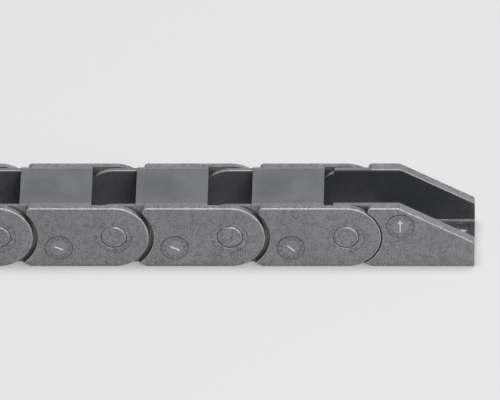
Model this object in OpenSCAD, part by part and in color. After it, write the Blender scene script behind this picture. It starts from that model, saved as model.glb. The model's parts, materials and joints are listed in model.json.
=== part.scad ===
// Cable drag chain of closed, one-piece links.
// Each link has two thick side walls joined by a bar at the top and one at the bottom. Its right
// end carries two thin round ears, and its left end two tongues that fit between the ears of the
// next link. A round pin on each tongue turns in the bore of the ear beside it, and a small stop
// on the tongue runs in a curved groove of the ear, which holds the chain straight one way and at
// its bend radius the other. Each end of the chain has an open bracket that screws to a machine.
// The chain lies straight along X on the plane z = 0. All sizes are in millimetres.

/* [Chain] */
// Number of links between the two end brackets
link_count = 18; // [2:1:40]
// Distance from one pin axis to the next
pitch = 33; // [31:0.5:38]
// Radius of the tightest bend, from its centre to the pin axes
bend_radius = 125; // [120:1:400]

/* [Cross-section] */
// Height of the links and brackets
body_h = 20; // [19:0.5:24]
// Width over the outer faces of the side walls
body_w = 23; // [20:0.5:40]
// Thickness of a side wall where it is whole
side_wall = 3.35; // [3.1:0.05:4]
// Thickness of the top and bottom bars and of the bracket floors
bar_t = 2.4; // [1.8:0.1:2.6]
// Depth of the bars' outer faces below the edges of the side walls
bar_sink = 0.15; // [0.1:0.05:0.4]
// Radius of the outer edges
edge_r = 0.5; // [0.3:0.1:0.8]
// Radius of the inner edges of the bracket walls and tongues
inner_edge_r = 0.35; // [0.2:0.05:0.6]
// Radius in the inner corners of the cable channel
channel_r = 1; // [0.5:0.1:2]

/* [Link outline] */
// Distance from each pin axis to the nearest end of the top bar
bar_gap = 6.3; // [6.1:0.1:8]
// Gap between an ear's round edge and the hollow edge of the next link
ear_gap = 1.4; // [0.8:0.1:1.6]
// Bevel along the hollow edge
hollow_bevel = 0.25; // [0.1:0.05:0.4]
// Distance from the tongue's pin axis to where the outer walls start above
wall_start = 8.3; // [8:0.1:9]
// Radius of the outer walls' upper corners
wall_corner_r = 1.1; // [0.9:0.1:1.5]
// Distance from the tongue's pin axis to where the flat underside starts
foot_start = 9.2; // [8.5:0.1:10]
// Slope of the outer walls' lower corners
foot_angle = 31; // [20:1:45]
// Distance from the tongue's pin axis to the step on the neck's lower edge
neck_step = 6.8; // [6.5:0.1:7.5]

/* [Hinge] */
// Thickness of an ear
ear_t = 1.85; // [1.75:0.05:2.2]
// Gap between an ear and the tongue beside it
ear_play = 0.2; // [0.15:0.05:0.3]
// Height of the body's edge above the round end of the tongue
tongue_step = 0.4; // [0.4:0.05:0.8]
// Gap round the tongue's end
tongue_gap = 0.25; // [0.2:0.05:0.6]
// Diameter of a pin
pin_d = 7.2; // [6:0.1:8]
// Radial clearance of a pin in its bore
pin_play = 0.1; // [0.05:0.01:0.1]
// Bevel at a pin's end
pin_bevel = 0.4; // [0.1:0.05:0.5]
// Bevel at the mouth of a bore
bore_bevel = 0.15; // [0.05:0.05:0.3]
// Depth of a pin's end face below the ear's outer face
pin_sink = 0.1; // [0:0.05:0.3]
// Diameter of the shallow ring round the bore
ring_d = 10.4; // [9.5:0.1:12]
// Depth of the shallow ring
ring_depth = 0.2; // [0.05:0.01:0.25]

/* [Bend stops] */
// Distance of the middle of each stop from the pin axis
stop_reach = 6.4; // [6:0.1:7]
// Width of a stop, measured away from the pin axis
stop_w = 2.2; // [1.6:0.1:2.6]
// Angle that a stop covers about the pin axis
stop_arc = 20; // [12:1:30]
// Height of a stop above the ear's inner face
stop_h = 0.7; // [0.5:0.05:0.8]
// Gap round a stop in its groove
stop_play = 0.08; // [0.03:0.01:0.12]
// Direction of the upper stop from the pin axis, counted up from the chain's line
stop_angle = 100; // [85:1:110]

/* [End brackets] */
// Distance from the pin axis to the bracket's end
bracket_reach = 36.4; // [34:0.1:50]
// Distance from the pin axis to where the top edge starts to fall
slope_start = 15.2; // [14:0.1:18]
// Height of the walls at the bracket's end
end_h = 8.3; // [6:0.1:12]
// Radius of the walls' upper end corners
end_top_r = 1.5; // [0.5:0.1:2]
// Radius of the walls' lower end corners
end_foot_r = 0.8; // [0.4:0.1:1.5]
// Gap between an ear's round edge and the hollow edge of the fixed bracket
bracket_ear_gap = 0.3; // [0.3:0.05:0.8]
// Distance from the pin axis to where the fixed bracket's outer walls start above
bracket_wall_start = 6.2; // [6:0.1:8]
// Distance from the pin axis to where the fixed bracket's flat underside starts
bracket_foot_start = 7.5; // [7:0.1:9]
// Slope of the fixed bracket's lower corners
bracket_foot_angle = 22; // [15:1:45]
// Distance that the square shoulder reaches past the pin axis
shoulder_reach = 3.6; // [2:0.1:3.6]
// Diameter of the screw holes
screw_hole_d = 4.4; // [3.4:0.1:5.5]
// Distance of the screw holes from each other
screw_spacing = 9.4; // [7:0.1:10]
// Distance of the screw holes from the bracket's end
screw_inset = 3.5; // [3.5:0.1:8]
// Bevel at the top of a screw hole
screw_bevel = 0.1; // [0.05:0.05:0.4]

/* [Date dials] */
// Diameter of the round date-dial recess
dial_d = 8; // [5:0.5:8]
// Depth of the recess
dial_depth = 0.12; // [0.05:0.01:0.2]
// Distance of a link's dial from the tongue's pin axis
link_dial_x = 17.3; // [16.5:0.1:18.5]
// Distance of a link's dial below the pin axis
link_dial_drop = 3.5; // [2:0.1:4.5]
// Distance of a bracket's dial from the pin axis
bracket_dial_x = 15.45; // [15:0.1:18]
// Distance of a bracket's dial above the pin axis
bracket_dial_rise = 3.95; // [0:0.05:4]

/* [Hidden] */
$fn = 96;
past = 1; // how far a cut runs past the face that it opens
half_h = body_h / 2;
half_w = body_w / 2;
far_off = 4 * body_h;

bend_angle = 2 * asin(pitch / (2 * bend_radius));
first_pin_x = link_count * pitch / 2;

wall_inside = half_w - side_wall;
ear_inside = half_w - ear_t;
tongue_outside = ear_inside - ear_play;
tongue_r = half_h - tongue_step;
tongue_room_r = tongue_r + tongue_gap;
bar_top = half_h - bar_sink;
channel_half_h = half_h - bar_t;
pin_end = half_w - pin_sink;
bore_r = pin_d / 2 + pin_play;
slope_angle = atan((body_h - end_h) / (bracket_reach - slope_start));

grey = [0.46, 0.455, 0.465];

function link_name(i) = str("link_", i < 10 ? "0" : "", i);
function pin_x(i) = first_pin_x - i * pitch;

// ---- helpers: X runs along the chain, and z = 0 is the pin axis ----

// Turns a shape drawn in XY, and raised in Z, so that it stands on the front side wall:
// its Y becomes up, and its Z becomes the distance from the chain's middle plane.
module on_side() {
    rotate([90, 0, 0]) children();
}

module both_sides() {
    children();
    mirror([0, 1, 0]) children();
}

module side_disc(r, from, to) {
    on_side() translate([0, 0, from]) cylinder(r = r, h = to - from);
}

// A block across the whole width, with its lowest and highest x and z.
module cross_block(x, z, half_width) {
    translate([x[0], -half_width, z[0]]) cube([x[1] - x[0], 2 * half_width, z[1] - z[0]]);
}

// Cross-section of an outer edge: x is the distance out to the edge face, y runs across the
// width. The outer corners are round, and so are the inner corners of open walls.
module edge_section(open_walls) {
    difference() {
        union() {
            translate([-far_off, -half_w]) square([far_off - edge_r, body_w]);
            translate([-edge_r - past, edge_r - half_w])
                square([edge_r + past, body_w - 2 * edge_r]);
            for (side = [-1, 1])
                translate([-edge_r, side * (half_w - edge_r)]) circle(edge_r);
        }
        if (open_walls)
            difference() {
                translate([-inner_edge_r, -wall_inside - inner_edge_r])
                    square([inner_edge_r + past, 2 * (wall_inside + inner_edge_r)]);
                for (side = [-1, 1])
                    translate([-inner_edge_r, side * (wall_inside + inner_edge_r)])
                        circle(inner_edge_r);
            }
    }
}

// Everything on the inner side of a plane that passes through [x, z] and faces the direction
// angle, with the plane's own outer edges rounded.
module inside_edge(at, angle, open_walls = false) {
    translate([at[0], 0, at[1]])
        rotate([0, -angle, 0])
            translate([0, 0, -far_off])
                linear_extrude(2 * far_off) edge_section(open_walls);
}

// Part of a disc across the whole width, with its rims rounded. It starts at the direction from,
// counted up from the chain's line.
module rounded_disc(r, from, angle) {
    on_side()
        rotate(from)
            rotate_extrude(angle = angle) {
                translate([0, -half_w]) square([r - edge_r, body_w]);
                translate([0, edge_r - half_w]) square([r, body_w - 2 * edge_r]);
                for (side = [-1, 1])
                    translate([r - edge_r, side * (half_w - edge_r)]) circle(edge_r);
            }
}

module ear_end() {
    rounded_disc(half_h, -90, 180);
}

// Above the pin axis, everything to the right of where the outer walls start, with a round upper
// corner. Below the axis, everything to the right of the axis.
module wall_end(start) {
    corner = [start + wall_corner_r, 0, half_h - wall_corner_r];
    intersection() {
        inside_edge([start, 0], 180);
        cross_block([0, far_off], [0, corner[2]], far_off);
    }
    cross_block([corner[0], far_off], [corner[2], far_off], far_off);
    cross_block([0, far_off], [-far_off, 0], far_off);
    translate(corner) rounded_disc(wall_corner_r, 90, 90);
}

// The hollow that the next link's ears turn in, with its edges bevelled at both outer faces.
module hollow(gap) {
    r = half_h + gap;
    side_disc(r, -half_w - past, half_w + past);
    both_sides()
        on_side()
            translate([0, 0, half_w - hollow_bevel])
                cylinder(r1 = r, r2 = r + hollow_bevel + past, h = hollow_bevel + past);
}

// ---- the hinge ----

// Space between two ears for the next link's tongues, from the bar's end on.
module tongue_room() {
    both_sides() side_disc(tongue_room_r, 0, ear_inside);
    cross_block([-bar_gap, half_h + past], [-half_h - past, half_h + past], ear_inside);
}

// Bore, shallow ring and stop grooves of both ears.
module ear_cuts() {
    both_sides() {
        side_disc(bore_r, ear_inside - past, half_w + past);
        side_disc(ring_d / 2, half_w - ring_depth, half_w + past);
        on_side()
            translate([0, 0, half_w - ring_depth - bore_bevel])
                cylinder(r1 = bore_r, r2 = bore_r + bore_bevel, h = bore_bevel);
        for (turn = [0, 180]) stop_groove(turn);
    }
}

// A curved slot in the ear's inner face, as long as the stop and its travel.
module stop_groove(turn) {
    stop_sector(turn, bend_angle, stop_play, ear_inside - ear_play, ear_inside + stop_h + stop_play);
}

// Part of a ring about the pin axis: the stop itself, or with travel and play its groove.
module stop_sector(turn, travel, play, from, to) {
    play_angle = asin(play / stop_reach);
    on_side()
        translate([0, 0, from])
            rotate(turn + stop_angle - stop_arc / 2 - play_angle)
                rotate_extrude(angle = stop_arc + travel + 2 * play_angle)
                    translate([stop_reach - stop_w / 2 - play, 0])
                        square([stop_w + 2 * play, to - from]);
}

// One tongue with its pin and stops. Its neck runs back to x = neck_end.
module tongue(neck_end) {
    difference() {
        union() {
            on_side() rotate_extrude() tongue_rim();
            on_side()
                translate([0, 0, wall_inside])
                    linear_extrude(tongue_outside - wall_inside) neck_outline(neck_end);
        }
        translate([0, -wall_inside, tongue_r]) inner_edge_cut(neck_end);
    }
    side_disc(pin_d / 2, tongue_outside - ear_play, pin_end - pin_bevel);
    on_side()
        translate([0, 0, pin_end - pin_bevel])
            cylinder(d1 = pin_d, d2 = pin_d - 2 * pin_bevel, h = pin_bevel);
    for (turn = [0, 180])
        stop_sector(turn, 0, 0, tongue_outside - ear_play, ear_inside + stop_h);
}

// The neck is as tall as the tongue, and its lower edge slopes down to the underside at the end.
module neck_outline(neck_end) {
    polygon([
        [0, tongue_r],
        [neck_end, tongue_r],
        [neck_end, -half_h],
        [neck_step + tongue_step, -half_h],
        [neck_step, -tongue_r],
        [0, -tongue_r]
    ]);
}

// Half cross-section of the tongue's round end, with its inner edge rounded.
module tongue_rim() {
    translate([0, wall_inside + inner_edge_r])
        square([tongue_r, tongue_outside - wall_inside - inner_edge_r]);
    translate([0, wall_inside]) square([tongue_r - inner_edge_r, tongue_outside - wall_inside]);
    translate([tongue_r - inner_edge_r, wall_inside + inner_edge_r]) circle(inner_edge_r);
}

// Takes the corner off an inner edge that runs along X, and leaves it round.
module inner_edge_cut(length) {
    rotate([90, 0, 90])
        linear_extrude(length)
            difference() {
                translate([-inner_edge_r, -inner_edge_r]) square(2 * inner_edge_r);
                translate([-inner_edge_r, -inner_edge_r]) circle(inner_edge_r);
            }
}

// ---- the link ----

// Side walls and bars as one block, from the hollow edge to the ears' round ends.
module link_block() {
    difference() {
        union() {
            intersection() {
                cross_block([0, pitch], [-half_h, half_h], half_w);
                inside_edge([0, half_h], 90);
                inside_edge([0, -half_h], -90);
                inside_edge([foot_start, -half_h], -90 - foot_angle);
                wall_end(wall_start);
            }
            translate([pitch, 0, 0]) ear_end();
        }
        hollow(ear_gap);
        translate([pitch, 0, 0]) tongue_room();
        for (side = [-1, 1])
            cross_block(
                [0, pitch - bar_gap + past],
                side > 0 ? [bar_top, half_h + past] : [-half_h - past, -bar_top],
                wall_inside
            );
    }
}

// The bars' ends, where the outer walls have not yet begun. The upper one covers the necks too.
module bar_ends() {
    end = half_h + ear_gap;
    cross_block([bar_gap, end], [0, bar_top], tongue_outside);
    cross_block([bar_gap, end], [-bar_top, 0], (wall_inside + tongue_outside) / 2);
}

// The way for the cables, open at the top and bottom next to the tongues.
module cable_channel() {
    inner = wall_inside - channel_r;
    tall = channel_half_h - channel_r;
    translate([bar_gap - past, 0, 0])
        rotate([90, 0, 90])
            linear_extrude(pitch) {
                square([2 * inner, 2 * channel_half_h], center = true);
                square([2 * wall_inside, 2 * tall], center = true);
                for (y = [-inner, inner], z = [-tall, tall]) translate([y, z]) circle(channel_r);
            }
    cross_block([-half_h, bar_gap], [-half_h - past, half_h + past], wall_inside);
}

module date_dial(x, z) {
    translate([x, 0, z]) side_disc(dial_d / 2, half_w - dial_depth, half_w + past);
}

module link() {
    color(grey)
        difference() {
            union() {
                link_block();
                bar_ends();
                both_sides() tongue(half_h + ear_gap);
            }
            cable_channel();
            translate([pitch, 0, 0]) ear_cuts();
            date_dial(link_dial_x, -link_dial_drop);
        }
}

// ---- the end brackets ----

// Outline of a bracket to the right of the pin axis: flat top, falling edge and square end.
module bracket_block() {
    end_x = bracket_reach;
    intersection() {
        cross_block([0, end_x], [-half_h, half_h], half_w);
        inside_edge([0, half_h], 90, open_walls = true);
        inside_edge([0, -half_h], -90);
        inside_edge([slope_start, half_h], 90 - slope_angle, open_walls = true);
        on_side() linear_extrude(body_w + 2 * past, center = true) bracket_end_outline();
    }
}

// The bracket's side view, with its two end corners rounded.
module bracket_end_outline() {
    low = -half_h + end_foot_r;
    // the upper corner's circle touches both the end and the falling edge
    high = end_h - half_h - end_top_r * tan((90 - slope_angle) / 2);
    low_x = bracket_reach - end_foot_r;
    high_x = bracket_reach - end_top_r;
    union() {
        translate([-far_off, -half_h]) square([far_off + low_x, high + half_h]);
        translate([-far_off, low]) square([far_off + bracket_reach, high - low]);
        translate([-far_off, low]) square([far_off + high_x, half_h - low]);
        translate([low_x, low]) circle(end_foot_r);
        translate([high_x, high]) circle(end_top_r);
    }
}

// The inside of a bracket, open at the top, down to its floor.
module bracket_channel(from) {
    inner = wall_inside - channel_r;
    floor_top = half_h - bar_t;
    translate([from, 0, 0])
        rotate([90, 0, 90])
            linear_extrude(bracket_reach + past - from) {
                translate([-inner, -floor_top]) square([2 * inner, body_h + floor_top]);
                translate([-wall_inside, channel_r - floor_top])
                    square([2 * wall_inside, body_h + floor_top]);
                for (y = [-inner, inner]) translate([y, channel_r - floor_top]) circle(channel_r);
            }
}

module screw_holes() {
    floor_top = -half_h + bar_t;
    for (side = [-1, 1])
        translate([bracket_reach - screw_inset, side * screw_spacing / 2, 0]) {
            translate([0, 0, -half_h - past]) cylinder(d = screw_hole_d, h = bar_t + 2 * past);
            translate([0, 0, floor_top - screw_bevel])
                cylinder(
                    d1 = screw_hole_d, d2 = screw_hole_d + 2 * (screw_bevel + past),
                    h = screw_bevel + past
                );
        }
}

// The square shoulder on top of one of the fixed bracket's tongues.
module shoulder() {
    r = tongue_outside - wall_inside;
    translate([0, -tongue_outside, 0])
        cube([bracket_wall_start + wall_corner_r, r, bar_top]);
    translate([-shoulder_reach, -tongue_outside, 0])
        cube([shoulder_reach, r, bar_top - inner_edge_r]);
    translate([inner_edge_r - shoulder_reach, -tongue_outside, 0])
        cube([shoulder_reach, r, bar_top]);
    translate([inner_edge_r - shoulder_reach, 0, bar_top - inner_edge_r])
        side_disc(inner_edge_r, wall_inside, tongue_outside);
}

module fixed_end_bracket() {
    color(grey)
        difference() {
            union() {
                difference() {
                    intersection() {
                        bracket_block();
                        inside_edge([bracket_foot_start, -half_h], -90 - bracket_foot_angle);
                        wall_end(bracket_wall_start);
                    }
                    hollow(bracket_ear_gap);
                    bracket_channel(0);
                }
                both_sides() {
                    tongue(half_h + bracket_ear_gap);
                    shoulder();
                }
            }
            cross_block([-half_h, foot_start], [-half_h - past, 0], wall_inside);
            screw_holes();
            date_dial(bracket_dial_x, bracket_dial_rise);
        }
}

module moving_end_bracket() {
    color(grey)
        difference() {
            union() {
                mirror([1, 0, 0]) bracket_block();
                ear_end();
            }
            tongue_room();
            mirror([1, 0, 0]) bracket_channel(-half_h);
            mirror([1, 0, 0]) screw_holes();
            ear_cuts();
            date_dial(-bracket_dial_x, bracket_dial_rise);
        }
}

// ---- the chain, laid straight ----

translate([pin_x(0), 0, half_h]) fixed_end_bracket();

for (i = [1:link_count])
    translate([pin_x(i), 0, half_h]) link();

translate([pin_x(link_count), 0, half_h]) moving_end_bracket();
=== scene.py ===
"""Dresses the cable drag chain in moulded nylon and sets it on a pale studio floor.

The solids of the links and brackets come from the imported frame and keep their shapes. This script
gives them their finish, adds the small date dial that the mould leaves on each of them, and sets up
the floor, the sky, the lamps and the camera.
"""

from __future__ import annotations

import json
import logging
import math
from dataclasses import dataclass, replace
from enum import Enum
from functools import cached_property

import bmesh
import bpy
from mathutils import Matrix, Vector

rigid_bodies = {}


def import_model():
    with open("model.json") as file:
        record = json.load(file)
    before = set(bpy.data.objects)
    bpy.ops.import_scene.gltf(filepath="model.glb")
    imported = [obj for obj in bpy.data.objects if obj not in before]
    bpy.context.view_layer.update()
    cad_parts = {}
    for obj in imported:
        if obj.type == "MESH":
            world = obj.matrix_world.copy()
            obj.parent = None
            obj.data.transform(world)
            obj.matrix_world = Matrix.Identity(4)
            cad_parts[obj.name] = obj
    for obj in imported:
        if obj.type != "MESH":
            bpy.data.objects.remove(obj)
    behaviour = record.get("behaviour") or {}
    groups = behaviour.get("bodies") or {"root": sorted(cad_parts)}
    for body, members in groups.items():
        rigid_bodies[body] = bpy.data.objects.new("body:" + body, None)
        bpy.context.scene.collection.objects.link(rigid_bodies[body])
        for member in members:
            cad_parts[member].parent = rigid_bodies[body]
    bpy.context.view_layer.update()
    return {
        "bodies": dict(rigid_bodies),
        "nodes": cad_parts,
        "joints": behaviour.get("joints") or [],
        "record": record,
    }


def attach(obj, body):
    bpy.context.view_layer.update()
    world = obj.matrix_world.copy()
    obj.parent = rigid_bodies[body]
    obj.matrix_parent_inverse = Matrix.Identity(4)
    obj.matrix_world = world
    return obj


Colour = tuple[float, float, float]
Span = tuple[float, float]
Link = bpy.types.NodeSocket | float

MM = 0.001
LOG = logging.getLogger("drag_chain")
RAY_SAMPLES = 8  # rays of each Ambient Occlusion and Bevel node
BACKDROP: Colour = (0.791, 0.791, 0.791)  # what the camera sees of the floor and past it
FRONT_WALL = -11.5 * MM  # the front wall's outer face, along Y
FACING_FRONT = Matrix.Rotation(math.radians(90), 4, "X")  # stands a shape drawn in XY up to face -Y


class Hand(Enum):
    """The raised mark in the middle of a date dial."""

    BAR = "bar"
    ARROW = "arrow"


# ---------------------------------------------------------------- finishes


@dataclass(frozen=True)
class Pattern:
    """A noise pattern: the size of its largest grains, its finer layers and the range that counts."""

    size: float
    detail: int
    counts: Span


@dataclass
class Nodes:
    """A node tree under construction, with short calls for adding and linking nodes."""

    tree: bpy.types.NodeTree

    def node(self, kind: str, **settings: object) -> bpy.types.Node:
        """Adds a node.

        Args:
            kind: The node's type, without its ShaderNode prefix.
            **settings: Attributes to set on it.

        Returns:
            The new node.
        """
        made = self.tree.nodes.new("ShaderNode" + kind)
        for key, value in settings.items():
            setattr(made, key, value)
        return made

    def feed(self, socket: bpy.types.NodeSocket, value: Link | Colour) -> None:
        """Links an output to a socket, or sets the socket's own value.

        Args:
            socket: The input to feed.
            value: An output socket, a number or a colour.
        """
        if isinstance(value, bpy.types.NodeSocket):
            self.tree.links.new(value, socket)
        elif isinstance(value, tuple) and len(socket.default_value) == 4:
            socket.default_value = (*value, 1.0)
        else:
            socket.default_value = value

    def mix_shaders(self, factor: Link, first: Link, second: Link) -> bpy.types.NodeSocket:
        """Mixes two shaders.

        Args:
            factor: 0 gives the first and 1 gives the second.
            first: The first shader.
            second: The second shader.

        Returns:
            The mixed shader.
        """
        made = self.node("MixShader")
        for socket, value in zip(made.inputs, (factor, first, second)):
            self.feed(socket, value)
        return made.outputs[0]


class Shader(Nodes):
    """A material under construction, with short calls for the patterns that the finishes use."""

    def __init__(self, name: str) -> None:
        """Starts the material with its Principled shader and output.

        Args:
            name: The material's name.
        """
        self.material = bpy.data.materials.new(name)
        self.material.use_nodes = True
        super().__init__(self.material.node_tree)
        self.principled = self.tree.nodes["Principled BSDF"]
        self.output = self.tree.nodes["Material Output"]

    @cached_property
    def coordinates(self) -> bpy.types.Node:
        """Returns the one Texture Coordinate node of this material."""
        return self.node("TexCoord")

    def math(self, operation: str, *values: Link) -> bpy.types.NodeSocket:
        """Adds a Math node.

        Args:
            operation: The node's operation.
            *values: Its inputs in order.

        Returns:
            Its result.
        """
        made = self.node("Math", operation=operation)
        for socket, value in zip(made.inputs, values):
            self.feed(socket, value)
        return made.outputs[0]

    def ramp(self, value: Link, start: Span, result: Span = (0.0, 1.0)) -> bpy.types.NodeSocket:
        """Adds a smooth Map Range node.

        Args:
            value: What to map.
            start: The two values between which the result changes.
            result: The results at those two values and beyond them.

        Returns:
            The mapped value.
        """
        made = self.node("MapRange", interpolation_type="SMOOTHSTEP")
        for socket, number in zip(made.inputs, (value, *start, *result)):
            self.feed(socket, number)
        return made.outputs[0]

    def noise(self, pattern: Pattern) -> bpy.types.NodeSocket:
        """Adds a noise pattern on the piece's own coordinates.

        Args:
            pattern: The pattern to add.

        Returns:
            The pattern, from 0 to 1.
        """
        made = self.node("TexNoise")
        self.feed(made.inputs["Vector"], self.coordinates.outputs["Object"])
        self.feed(made.inputs["Scale"], 1 / pattern.size)
        self.feed(made.inputs["Detail"], pattern.detail)
        return self.ramp(made.outputs["Fac"], pattern.counts)

    def split(self, vector: bpy.types.NodeSocket) -> tuple[bpy.types.NodeSocket, ...]:
        """Takes a vector apart.

        Args:
            vector: The vector.

        Returns:
            Its X, Y and Z.
        """
        made = self.node("SeparateXYZ")
        self.feed(made.inputs[0], vector)
        return tuple(made.outputs)

    def openness(self, distance: float) -> bpy.types.NodeSocket:
        """Adds an Ambient Occlusion node.

        Args:
            distance: How near a surface has to be to count as a cover.

        Returns:
            1 in the open and less where surfaces stand close.
        """
        made = self.node("AmbientOcclusion", samples=RAY_SAMPLES)
        self.feed(made.inputs["Distance"], distance)
        return made.outputs["AO"]

    def blend(self, factor: Link, low: Link | Colour, high: Link | Colour) -> bpy.types.NodeSocket:
        """Mixes two colours.

        Args:
            factor: 0 gives low and 1 gives high.
            low: The first colour.
            high: The second colour.

        Returns:
            The mixed colour.
        """
        made = self.node("Mix", data_type="RGBA")
        sockets = (made.inputs[index] for index in (0, 6, 7))  # the ones that its colour mode uses
        for socket, value in zip(sockets, (factor, low, high)):
            self.feed(socket, value)
        return made.outputs[2]

    def shade(self, skin: Link, pattern: Link, brightness: Span) -> bpy.types.NodeSocket:
        """Makes a colour darker and lighter with a pattern.

        Args:
            skin: The colour.
            pattern: The pattern, from 0 to 1.
            brightness: What the colour is multiplied by at 0 and at 1.

        Returns:
            The shaded colour.
        """
        made = self.node("VectorMath", operation="SCALE")
        self.feed(made.inputs[0], skin)
        self.feed(made.inputs["Scale"], self.ramp(pattern, (0.0, 1.0), brightness))
        return made.outputs[0]


@dataclass(frozen=True)
class MouldedNylon:
    """Grey nylon as it leaves the mould: mottled and finely grained, with painted shade in the channel
    and crevices, painted highlights on rims and wall tops, and painted cool light on the bars.

    Values named across are distances from the chain's middle plane. Those named shade or light say what
    the colour is multiplied by where a pattern is 0 and where it is 1.
    """

    name: str = "moulded_grey_nylon"
    outside: Colour = (0.141, 0.1362, 0.143)
    # painted light: a cooler tint on the bars for the cool light from above
    cool: Colour = (0.129, 0.132, 0.141)
    # painted shade: the darker colour of the channel's walls and floor, where little light reaches
    inside: Colour = (0.088, 0.088, 0.094)
    # painted highlight: the pale colour painted on the bevelled rims
    worn: Colour = (0.42, 0.415, 0.42)
    wear: float = 0.55
    roughness: Span = (0.27, 0.34)
    ior: float = 1.53
    specular: float = 0.75
    grain: Pattern = Pattern(0.36 * MM, 0, (0.2, 0.8))
    mottle: Pattern = Pattern(1.6 * MM, 1, (0.3, 0.7))
    blotch: Pattern = Pattern(11 * MM, 1, (0.35, 0.65))
    mottle_share: float = 0.2
    bar_speckle: float = 0.11
    wall_speckle: float = 0.82
    speckle_across: Span = (8.5 * MM, 11.3 * MM)
    cool_across: Span = (9.5 * MM, 8.0 * MM)
    tops_across: Span = (8.1 * MM, 8.7 * MM)
    tops_facing_up: Span = (0.75, 0.9)
    rim_slant_from: Span = (0.25, 0.5)
    rim_slant_to: Span = (0.97, 0.85)
    rim_openness: Span = (0.5, 0.9)
    edge_radius: float = 0.15 * MM
    bump_strength: float = 0.1
    bump_depth: float = 0.02 * MM
    # reach of the Ambient Occlusion that paints shade into crevices and keeps rim highlights out of them
    crevice: float = 2.2 * MM
    crevice_openness: Span = (0.25, 0.8)
    channel_half_width: float = 8.2 * MM
    channel_heights: Span = (0.6 * MM, 19.4 * MM)
    pitch: float = 33 * MM
    # where and how much each bar is darker in its middle than towards its ends
    sink_place: float = 276.5 * MM
    sink_wave: Span = (0.2, 1.0)
    sink_across: Span = (8 * MM, 2 * MM)
    blotch_shade: Span = (0.95, 1.05)
    sink_shade: Span = (0.90, 1.05)
    speckle_shade: Span = (0.4, 1.6)
    # painted light on the upward tops of the side walls
    tops_shade: Span = (1.0, 1.28)
    crevice_shade: Span = (0.32, 1.0)

    def make(self) -> bpy.types.Material:
        """Builds the material.

        Returns:
            The material.
        """
        s = Shader(self.name)
        along, sideways, height = s.split(s.coordinates.outputs["Object"])
        across = s.math("ABSOLUTE", sideways)
        grain, mottle = s.noise(self.grain), s.noise(self.mottle)
        # painted light: the bars take a cooler tint for the cool light from above
        skin = s.blend(s.ramp(across, self.cool_across), self.outside, self.cool)
        skin = s.shade(skin, s.noise(self.blotch), self.blotch_shade)
        # each bar a little darker in its middle and paler towards its ends
        skin = s.shade(skin, self.away_from_sink(s, across, along), self.sink_shade)
        # painted shade: the channel's walls and floor take the darker inside colour
        channel_shade_mask = self.core_side(s, across, height)
        skin = s.blend(channel_shade_mask, skin, self.inside)
        skin = s.shade(skin, self.speckle(s, across, grain, mottle), self.speckle_shade)
        openness = s.openness(self.crevice)
        # painted highlight: the slanted rims take a pale colour
        skin = s.blend(self.worn_rims(s, channel_shade_mask, openness), skin, self.worn)
        # painted light: the tops of the side walls are made paler
        skin = s.shade(skin, self.wall_tops(s, across), self.tops_shade)
        # painted shade: crevices are darkened by Ambient Occlusion
        skin = s.shade(skin, s.ramp(openness, self.crevice_openness), self.crevice_shade)
        s.feed(s.principled.inputs["Base Color"], skin)
        s.feed(s.principled.inputs["Roughness"], s.ramp(mottle, (0.0, 1.0), self.roughness))
        s.feed(s.principled.inputs["IOR"], self.ior)
        s.feed(s.principled.inputs["Specular IOR Level"], self.specular)
        s.feed(s.principled.inputs["Normal"], self.relief(s, grain))
        return s.material

    def away_from_sink(self, s: Shader, across: Link, along: Link) -> bpy.types.NodeSocket:
        """Marks where the bars are paler: each is a little darker in its middle than towards its ends.

        Args:
            s: The shader to add to.
            across: The distance from the chain's middle plane.
            along: The place along the chain.

        Returns:
            0 in the middle of a bar and 1 away from it.
        """
        turns = 2 * math.pi / self.pitch
        wave = s.math("COSINE", s.math("MULTIPLY_ADD", along, turns, -turns * self.sink_place))
        darker_middle = s.math("MULTIPLY", s.ramp(wave, self.sink_wave), s.ramp(across, self.sink_across))
        return s.math("SUBTRACT", 1.0, darker_middle)

    def core_side(self, s: Shader, across: Link, height: Link) -> bpy.types.NodeSocket:
        """Marks the walls of the cable channel, where painted shade darkens the colour.

        Args:
            s: The shader to add to.
            across: The distance from the chain's middle plane.
            height: The height above the floor.

        Returns:
            1 inside the channel and 0 outside.
        """
        lowest, highest = self.channel_heights
        inside = s.math("LESS_THAN", across, self.channel_half_width)
        under = s.math("LESS_THAN", height, highest)
        over = s.math("GREATER_THAN", height, lowest)
        return s.math("MULTIPLY", s.math("MULTIPLY", inside, under), over)

    def speckle(self, s: Shader, across: Link, grain: Link, mottle: Link) -> bpy.types.NodeSocket:
        """Mixes the grain and the mottle, stronger on the side walls than on the bars.

        Args:
            s: The shader to add to.
            across: The distance from the chain's middle plane.
            grain: The fine grain.
            mottle: The coarser pattern.

        Returns:
            The two patterns together, about one half.
        """
        fine = s.math("MULTIPLY", grain, 1 - self.mottle_share)
        both = s.math("MULTIPLY_ADD", mottle, self.mottle_share, fine)
        strength = s.ramp(across, self.speckle_across, (self.bar_speckle, self.wall_speckle))
        return s.math("MULTIPLY_ADD", s.math("SUBTRACT", both, 0.5), strength, 0.5)

    def worn_rims(self, s: Shader, channel_shade_mask: Link, openness: Link) -> bpy.types.NodeSocket:
        """Marks the bevelled rims, whose faces slant between the wall and its edge, for a painted
        highlight.

        Args:
            s: The shader to add to.
            channel_shade_mask: 1 inside the channel, where no rim highlight is painted.
            openness: 1 in the open and less in crevices, where no rim highlight is painted either.

        Returns:
            The share of the painted highlight colour, which is 0 on walls, tops and bottoms.
        """
        slant = s.math("ABSOLUTE", s.split(s.coordinates.outputs["Normal"])[1])
        rims = s.math("MULTIPLY", s.ramp(slant, self.rim_slant_from), s.ramp(slant, self.rim_slant_to))
        rims = s.math("MULTIPLY", rims, s.ramp(openness, self.rim_openness))
        rims = s.math("MULTIPLY", rims, s.math("SUBTRACT", 1.0, channel_shade_mask))
        return s.math("MULTIPLY", rims, self.wear)

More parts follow.
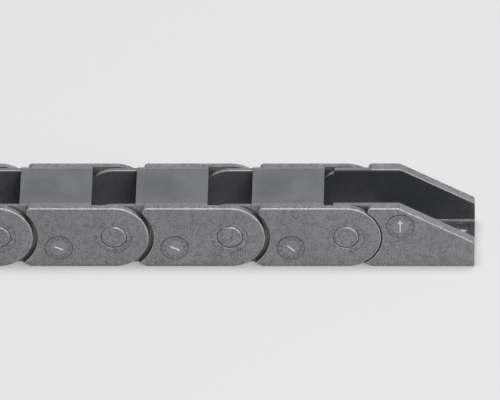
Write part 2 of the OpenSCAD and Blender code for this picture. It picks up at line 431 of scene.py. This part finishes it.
    def wall_tops(self, s: Shader, across: Link) -> bpy.types.NodeSocket:
        """Marks the narrow tops of the side walls, where painted light makes them paler than the bars.

        Args:
            s: The shader to add to.
            across: The distance from the chain's middle plane.

        Returns:
            1 on the tops and 0 elsewhere.
        """
        upward = s.split(s.coordinates.outputs["Normal"])[2]
        return s.math("MULTIPLY", s.ramp(upward, self.tops_facing_up), s.ramp(across, self.tops_across))

    def relief(self, s: Shader, grain: Link) -> bpy.types.NodeSocket:
        """Gives the surface its grain and takes the sharpness off its edges.

        Args:
            s: The shader to add to.
            grain: The grain that the colour follows too.

        Returns:
            The bent normal.
        """
        rounded = s.node("Bevel", samples=RAY_SAMPLES)
        s.feed(rounded.inputs["Radius"], self.edge_radius)
        bump = s.node("Bump")
        s.feed(bump.inputs["Strength"], self.bump_strength)
        s.feed(bump.inputs["Distance"], self.bump_depth)
        s.feed(bump.inputs["Height"], grain)
        s.feed(bump.inputs["Normal"], rounded.outputs["Normal"])
        return bump.outputs["Normal"]


@dataclass(frozen=True)
class StudioFloor:
    """Pale floor: an even grey, darker under and beside the chain from its shadow and a painted contact
    shadow, and clear when seen from below.
    """

    name: str = "studio_floor"
    colour: Colour = (0.655, 0.652, 0.648)
    roughness: float = 0.9
    shadow_share: float = 0.35
    # reach of the painted contact shadow
    contact: float = 7 * MM
    contact_openness: Span = (0.18, 0.88)
    darkest: float = 0.62

    def make(self) -> bpy.types.Material:
        """Builds the material.

        Returns:
            The material.
        """
        s = Shader(self.name)
        s.feed(s.principled.inputs["Base Color"], self.colour)
        s.feed(s.principled.inputs["Roughness"], self.roughness)
        s.feed(s.principled.inputs["Specular IOR Level"], 0.0)
        glow = s.node("Emission")
        # painted shadow: Ambient Occlusion dims the even grey that the camera sees, down to the deepest
        # painted shadow
        strength = s.ramp(s.openness(self.contact), self.contact_openness)
        s.feed(glow.inputs["Color"], BACKDROP)
        s.feed(glow.inputs["Strength"], s.math("MAXIMUM", strength, self.darkest))
        camera_ray = s.node("LightPath").outputs["Is Camera Ray"]
        glow_share = s.math("MULTIPLY", camera_ray, 1 - self.shadow_share)
        above = s.mix_shaders(glow_share, s.principled.outputs[0], glow.outputs[0])
        backfacing = s.node("NewGeometry").outputs["Backfacing"]
        clear = s.node("BsdfTransparent").outputs[0]
        s.feed(s.output.inputs["Surface"], s.mix_shaders(backfacing, above, clear))
        return s.material


# ---------------------------------------------------------------- modelling helpers


def clear_selection() -> None:
    """Deselects every object, so that the next operator acts on its own."""
    bpy.ops.object.select_all(action="DESELECT")


def piece(name: str) -> bpy.types.Object:
    """Names the active object, settles its place into its mesh and returns it.

    Args:
        name: The piece's name.

    Returns:
        The object.
    """
    made = bpy.context.object
    made.name = name
    made.data.name = name
    bpy.ops.object.transform_apply(location=True, rotation=True, scale=True)
    return made


def add_object(name: str, data: bpy.types.ID) -> bpy.types.Object:
    """Puts an object with the given data into the scene.

    Args:
        name: The object's name.
        data: Its mesh, light or camera.

    Returns:
        The object.
    """
    made = bpy.data.objects.new(name, data)
    bpy.context.scene.collection.objects.link(made)
    return made


def join(parts: list[bpy.types.Object], name: str) -> bpy.types.Object:
    """Joins objects into one.

    Args:
        parts: The objects; the first one stays.
        name: The name of the whole.

    Returns:
        The joined object.
    """
    clear_selection()
    for part in parts:
        part.select_set(True)
    bpy.context.view_layer.objects.active = parts[0]
    bpy.ops.object.join()
    return piece(name)


def copy_to(model: bpy.types.Object, name: str, place: Matrix) -> bpy.types.Object:
    """Copies a model piece with its own mesh and moves that mesh into place.

    Args:
        model: The piece to copy.
        name: The copy's name.
        place: Where the model's origin and axes go.

    Returns:
        The copy.
    """
    mesh = model.data.copy()
    mesh.name = name
    mesh.transform(place)
    return add_object(name, mesh)


# ---------------------------------------------------------------- date dials


@dataclass
class DateDial:
    """The mould's date insert: a round plate with numbers round its rim and a hand in its middle."""

    finishes: dict[str, bpy.types.Material]
    radius: float = 3.86 * MM
    facets: int = 72
    thickness: float = 0.20 * MM
    above_wall: float = 0.10 * MM
    relief: float = 0.24 * MM
    hub_radius: float = 2.45 * MM
    groove: float = 0.12 * MM
    count: int = 12
    number_radius: float = 3.15 * MM
    number_height: float = 1.3 * MM
    number_steps: int = 3
    hand_length: float = 2.9 * MM
    hand_width: float = 0.42 * MM
    head_base: float = 0.05 * MM
    head_spread: float = 4.0
    head_length: float = 1.0 * MM
    head_tip: float = 0.08
    head_setback: float = 0.4 * MM

    def plate(self) -> bpy.types.Object:
        """Makes the round plate, with a groove round its hub.

        Returns:
            The plate, facing up at the origin, with its face at z = 0.
        """
        clear_selection()
        bpy.ops.mesh.primitive_circle_add(vertices=self.facets, radius=self.radius, fill_type="NGON")
        bpy.ops.object.mode_set(mode="EDIT")
        bpy.ops.mesh.select_all(action="SELECT")
        bpy.ops.mesh.inset(thickness=self.radius - self.hub_radius)
        for step in (-self.groove / 2, self.groove / 2):
            bpy.ops.mesh.inset(thickness=self.groove / 2)
            bpy.ops.transform.translate(value=(0, 0, step))
        bpy.ops.mesh.select_all(action="SELECT")
        bpy.ops.object.mode_set(mode="OBJECT")
        solid = bpy.context.object.modifiers.new("thickness", "SOLIDIFY")
        solid.thickness = self.thickness
        solid.offset = -1
        bpy.ops.object.modifier_apply(modifier=solid.name)
        plate = piece("dial_plate")
        for part in ("hub", "ring"):
            plate.data.materials.append(self.finishes[part])
        for face in plate.data.polygons:
            face.material_index = int(face.center.xy.length > self.hub_radius)
        return plate

    def numbers(self) -> list[bpy.types.Object]:
        """Makes the raised numbers, each turned to face outwards.

        Returns:
            One object for each number.
        """
        made = []
        for number in range(1, self.count + 1):
            clear_selection()
            bpy.ops.object.text_add()
            text = bpy.context.object.data
            text.body = str(number)
            text.size = self.number_height
            text.align_x = "CENTER"
            text.align_y = "CENTER"
            text.extrude = self.relief / 2
            text.resolution_u = self.number_steps
            bpy.ops.object.convert(target="MESH")
            label = bpy.context.object
            turn = Matrix.Rotation(-math.radians(360 / self.count) * number, 4, "Z")
            label.data.transform(turn @ Matrix.Translation((0, self.number_radius, 0)))
            label.data.materials.append(self.finishes["number"])
            made.append(label)
        return made

    def pointer(self, hand: Hand) -> bpy.types.Object:
        """Makes the raised hand: a plain bar, or an arrow with a wide head.

        Args:
            hand: Which of the two it is.

        Returns:
            The hand, pointing up along Y.
        """
        clear_selection()
        size = (self.hand_width, self.hand_length, 2 * self.relief)
        bpy.ops.mesh.primitive_cube_add(size=1, scale=size)
        bar = piece(f"dial_{hand.value}")
        # the hand's pale finish is a painted highlight on the raised hand
        bar.data.materials.append(self.finishes["hand"])
        if hand is Hand.ARROW:
            bpy.ops.object.mode_set(mode="EDIT")
            bpy.ops.mesh.select_mode(type="FACE")
            self.pick_tip()
            for length, spread in ((self.head_base, self.head_spread), (self.head_length, self.head_tip)):
                bpy.ops.mesh.extrude_region_move(TRANSFORM_OT_translate={"value": (0, length, 0)})
                bpy.ops.transform.resize(value=(spread, 1, 1))
            bpy.ops.object.mode_set(mode="OBJECT")
            bar.data.transform(Matrix.Translation((0, -self.head_setback, 0)))
        return bar

    def pick_tip(self) -> None:
        """Selects the face at the far end of the bar, along Y."""
        mesh = bmesh.from_edit_mesh(bpy.context.object.data)
        tip = max(mesh.faces, key=lambda face: face.calc_center_median().y)
        for face in mesh.faces:
            face.select_set(face == tip)
        bmesh.update_edit_mesh(bpy.context.object.data)

    def model(self) -> bpy.types.Object:
        """Builds one dial without its hand at the origin, facing up.

        Returns:
            The joined dial.
        """
        return join([self.plate(), *self.numbers()], "dial")


@dataclass
class Dials:
    """All the date dials: one low on each link and one high on each bracket, on the front wall."""

    frame: dict
    dial: DateDial
    link_reach: float = 17.3 * MM
    link_drop: float = 3.5 * MM
    bracket_reach: float = 15.45 * MM
    bracket_rise: float = 3.95 * MM
    cavity_turns: tuple[float, ...] = (135, 117, 115, 128, 152)

    def build(self) -> None:
        """Makes every dial and sets it on its piece."""
        pins = [Vector(joint["pos_m"]) for joint in self.frame["joints"]]
        plate = self.dial.model()
        bar, arrow = (self.dial.pointer(hand) for hand in Hand)
        for number, pin in enumerate(pins[1:], start=1):
            centre = Vector((pin.x + self.link_reach, FRONT_WALL, pin.z - self.link_drop))
            turn = self.cavity_turns[(number - 1) % len(self.cavity_turns)]
            self.fit(plate, bar, turn, centre, f"link_{number:02d}")
        for body, pin, side in (("fixed_end_bracket", pins[0], 1), ("moving_end_bracket", pins[-1], -1)):
            centre = Vector((pin.x + side * self.bracket_reach, FRONT_WALL, pin.z + self.bracket_rise))
            self.fit(plate, arrow, 0.0, centre, body)
        for model in (plate, bar, arrow):
            bpy.data.objects.remove(model)

    def fit(
        self, plate: bpy.types.Object, hand: bpy.types.Object, turn: float, centre: Vector, body: str
    ) -> None:
        """Sets a dial and its turned hand on a piece.

        Args:
            plate: The model dial.
            hand: The model hand.
            turn: How far the hand is turned clockwise from straight up, in degrees.
            centre: The dial's centre on the front wall.
            body: The piece's body.
        """
        place = Matrix.Translation(centre - Vector((0, self.dial.above_wall, 0))) @ FACING_FRONT
        turned = place @ Matrix.Rotation(-math.radians(turn), 4, "Z")
        dial = copy_to(plate, f"date_dial_{body}", place)
        for part in (dial, copy_to(hand, f"date_hand_{body}", turned)):
            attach(part, body)
            LOG.info("%s on %s", part.name, body)


# ---------------------------------------------------------------- the chain


@dataclass
class Chain:
    """The links and brackets themselves, whose solids come with the frame."""

    frame: dict
    links: bpy.types.Material
    brackets: bpy.types.Material

    def dress(self) -> None:
        """Gives every link and bracket its finish."""
        for name, node in sorted(self.frame["nodes"].items()):
            finish = self.brackets if name.endswith("bracket") else self.links
            if not node.data.materials:
                node.data.materials.append(finish)
            for slot in node.material_slots:
                slot.material = finish
            LOG.info("%s dressed", name)


# ---------------------------------------------------------------- stage, light and camera


@dataclass(frozen=True)
class Lamp:
    """A soft rectangular lamp: where it hangs from the middle of the view, its size, watts and colour."""

    name: str
    offset: tuple[float, float, float]
    size: Span
    power: float
    colour: Colour

    def hang(self, middle: Vector) -> None:
        """Hangs the lamp, facing the chain.

        Args:
            middle: The middle of what the camera sees.
        """
        data = bpy.data.lights.new(self.name, "AREA")
        data.shape = "RECTANGLE"
        data.size, data.size_y = self.size
        data.energy = self.power
        data.color = self.colour
        lamp = add_object(self.name, data)
        lamp.location = middle + Vector(self.offset)
        lamp.rotation_euler = (-Vector(self.offset)).to_track_quat("-Z", "Y").to_euler()


LAMPS = (
    Lamp("overhead_softbox", (0.1, 0.1, 1.2), (0.6, 0.5), 6.5, (0.98, 0.99, 1.0)),
    Lamp("front_softbox", (0.42, -0.66, 0.92), (1.2, 0.4), 10.0, (0.99, 0.99, 1.0)),
    Lamp("right_strip", (1.05, -0.48, 0.36), (0.4, 0.4), 3.4, (1.0, 1.0, 1.0)),
    Lamp("low_front_fill", (0.1, -1.4, 0.05), (1.8, 0.2), 0.8, (1.0, 0.985, 0.99)),
)


@dataclass
class Studio:
    """A wide pale floor, an even sky, and soft lamps overhead, in front and at the right."""

    middle: Vector
    floor_size: float = 12.0
    floor_cells: int = 4
    sky_colour: Colour = (0.95, 0.98, 1.0)
    sky_strength: float = 0.30

    def floor(self) -> None:
        """Lays the floor that the chain stands on."""
        clear_selection()
        cells = self.floor_cells
        bpy.ops.mesh.primitive_grid_add(x_subdivisions=cells, y_subdivisions=cells, size=self.floor_size)
        floor = piece("studio_floor")
        floor.data.materials.append(StudioFloor().make())

    def sky(self) -> None:
        """Sets the even light from all round, and the grey that the camera sees past the floor."""
        world = bpy.data.worlds.new("studio_sky")
        bpy.context.scene.world = world
        world.use_nodes = True
        nodes = Nodes(world.node_tree)
        light = world.node_tree.nodes["Background"]
        nodes.feed(light.inputs["Color"], self.sky_colour)
        nodes.feed(light.inputs["Strength"], self.sky_strength)
        seen = nodes.node("Background")
        nodes.feed(seen.inputs["Color"], BACKDROP)
        camera_ray = nodes.node("LightPath").outputs["Is Camera Ray"]
        mixed = nodes.mix_shaders(camera_ray, light.outputs[0], seen.outputs[0])
        nodes.feed(world.node_tree.nodes["World Output"].inputs["Surface"], mixed)

    def build(self) -> None:
        """Sets up the floor, the sky and the lamps."""
        self.floor()
        self.sky()
        for lamp in LAMPS:
            lamp.hang(self.middle)
        LOG.info("studio ready")


@dataclass
class Camera:
    """A long lens that looks down at the fixed end from the front, a little from the right."""

    pin: Vector
    azimuth: float = 1.7
    elevation: float = 34.8
    roll: float = 0.97
    distance: float = 4.8
    frame_width: float = 142.06 * MM
    beyond_pin: float = 5.74 * MM
    above_pin: float = 10.74 * MM
    sensor_width: float = 36.0
    clip_end: float = 100.0

    def build(self) -> None:
        """Places the camera and makes it the scene's."""
        azimuth, elevation = math.radians(self.azimuth), math.radians(self.elevation)
        level = Vector((-math.sin(azimuth), math.cos(azimuth), 0)) * math.cos(elevation)
        away = level - Vector((0, 0, math.sin(elevation)))
        tilt = Matrix.Rotation(math.radians(self.roll), 3, away)
        right = tilt @ Vector((math.cos(azimuth), math.sin(azimuth), 0))
        up = right.cross(away)
        aim = Vector((self.pin.x, FRONT_WALL, self.pin.z)) + right * self.beyond_pin + up * self.above_pin
        data = bpy.data.cameras.new("camera")
        data.sensor_width = self.sensor_width
        data.lens = self.sensor_width * self.distance / self.frame_width
        data.clip_end = self.clip_end
        camera = add_object("camera", data)
        turn = Matrix((right, up, -away)).transposed().to_4x4()
        camera.matrix_world = Matrix.Translation(aim - away * self.distance) @ turn
        bpy.context.scene.camera = camera
        LOG.info("camera at %s", tuple(round(v, 3) for v in camera.location))


LINK_NYLON = MouldedNylon()
# painted shade: the brackets' open channel is darker still
BRACKET_NYLON = replace(LINK_NYLON, name="bracket_nylon", inside=(0.041, 0.042, 0.046))
DIAL_NYLON = replace(LINK_NYLON, edge_radius=0.06 * MM, wall_speckle=0.25)
DIAL_COLOURS: dict[str, Colour] = {
    "hub": (0.160, 0.156, 0.162),
    "ring": (0.105, 0.102, 0.107),
    "number": (0.30, 0.295, 0.30),
    # the hand's pale colour is a painted highlight on the raised hand
    "hand": (0.52, 0.515, 0.52),
}
VIEW_MIDDLE = Vector((6 * MM, 0, 10 * MM))  # from the floor under the second pin


def main() -> None:
    """Builds the scene in order: frame, camera, chain, dials and studio."""
    logging.basicConfig(level=logging.INFO, format="%(message)s")
    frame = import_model()
    bpy.context.scene.view_settings.view_transform = "Standard"
    second_pin = Vector(frame["joints"][1]["pos_m"])
    Camera(second_pin).build()
    Chain(frame, LINK_NYLON.make(), BRACKET_NYLON.make()).dress()
    dial = DateDial({
        part: replace(DIAL_NYLON, name=f"dial_{part}_nylon", outside=colour).make()
        for part, colour in DIAL_COLOURS.items()
    })
    Dials(frame, dial).build()
    Studio(Vector((second_pin.x, 0, 0)) + VIEW_MIDDLE).build()


if __name__ == "__main__":
    main()
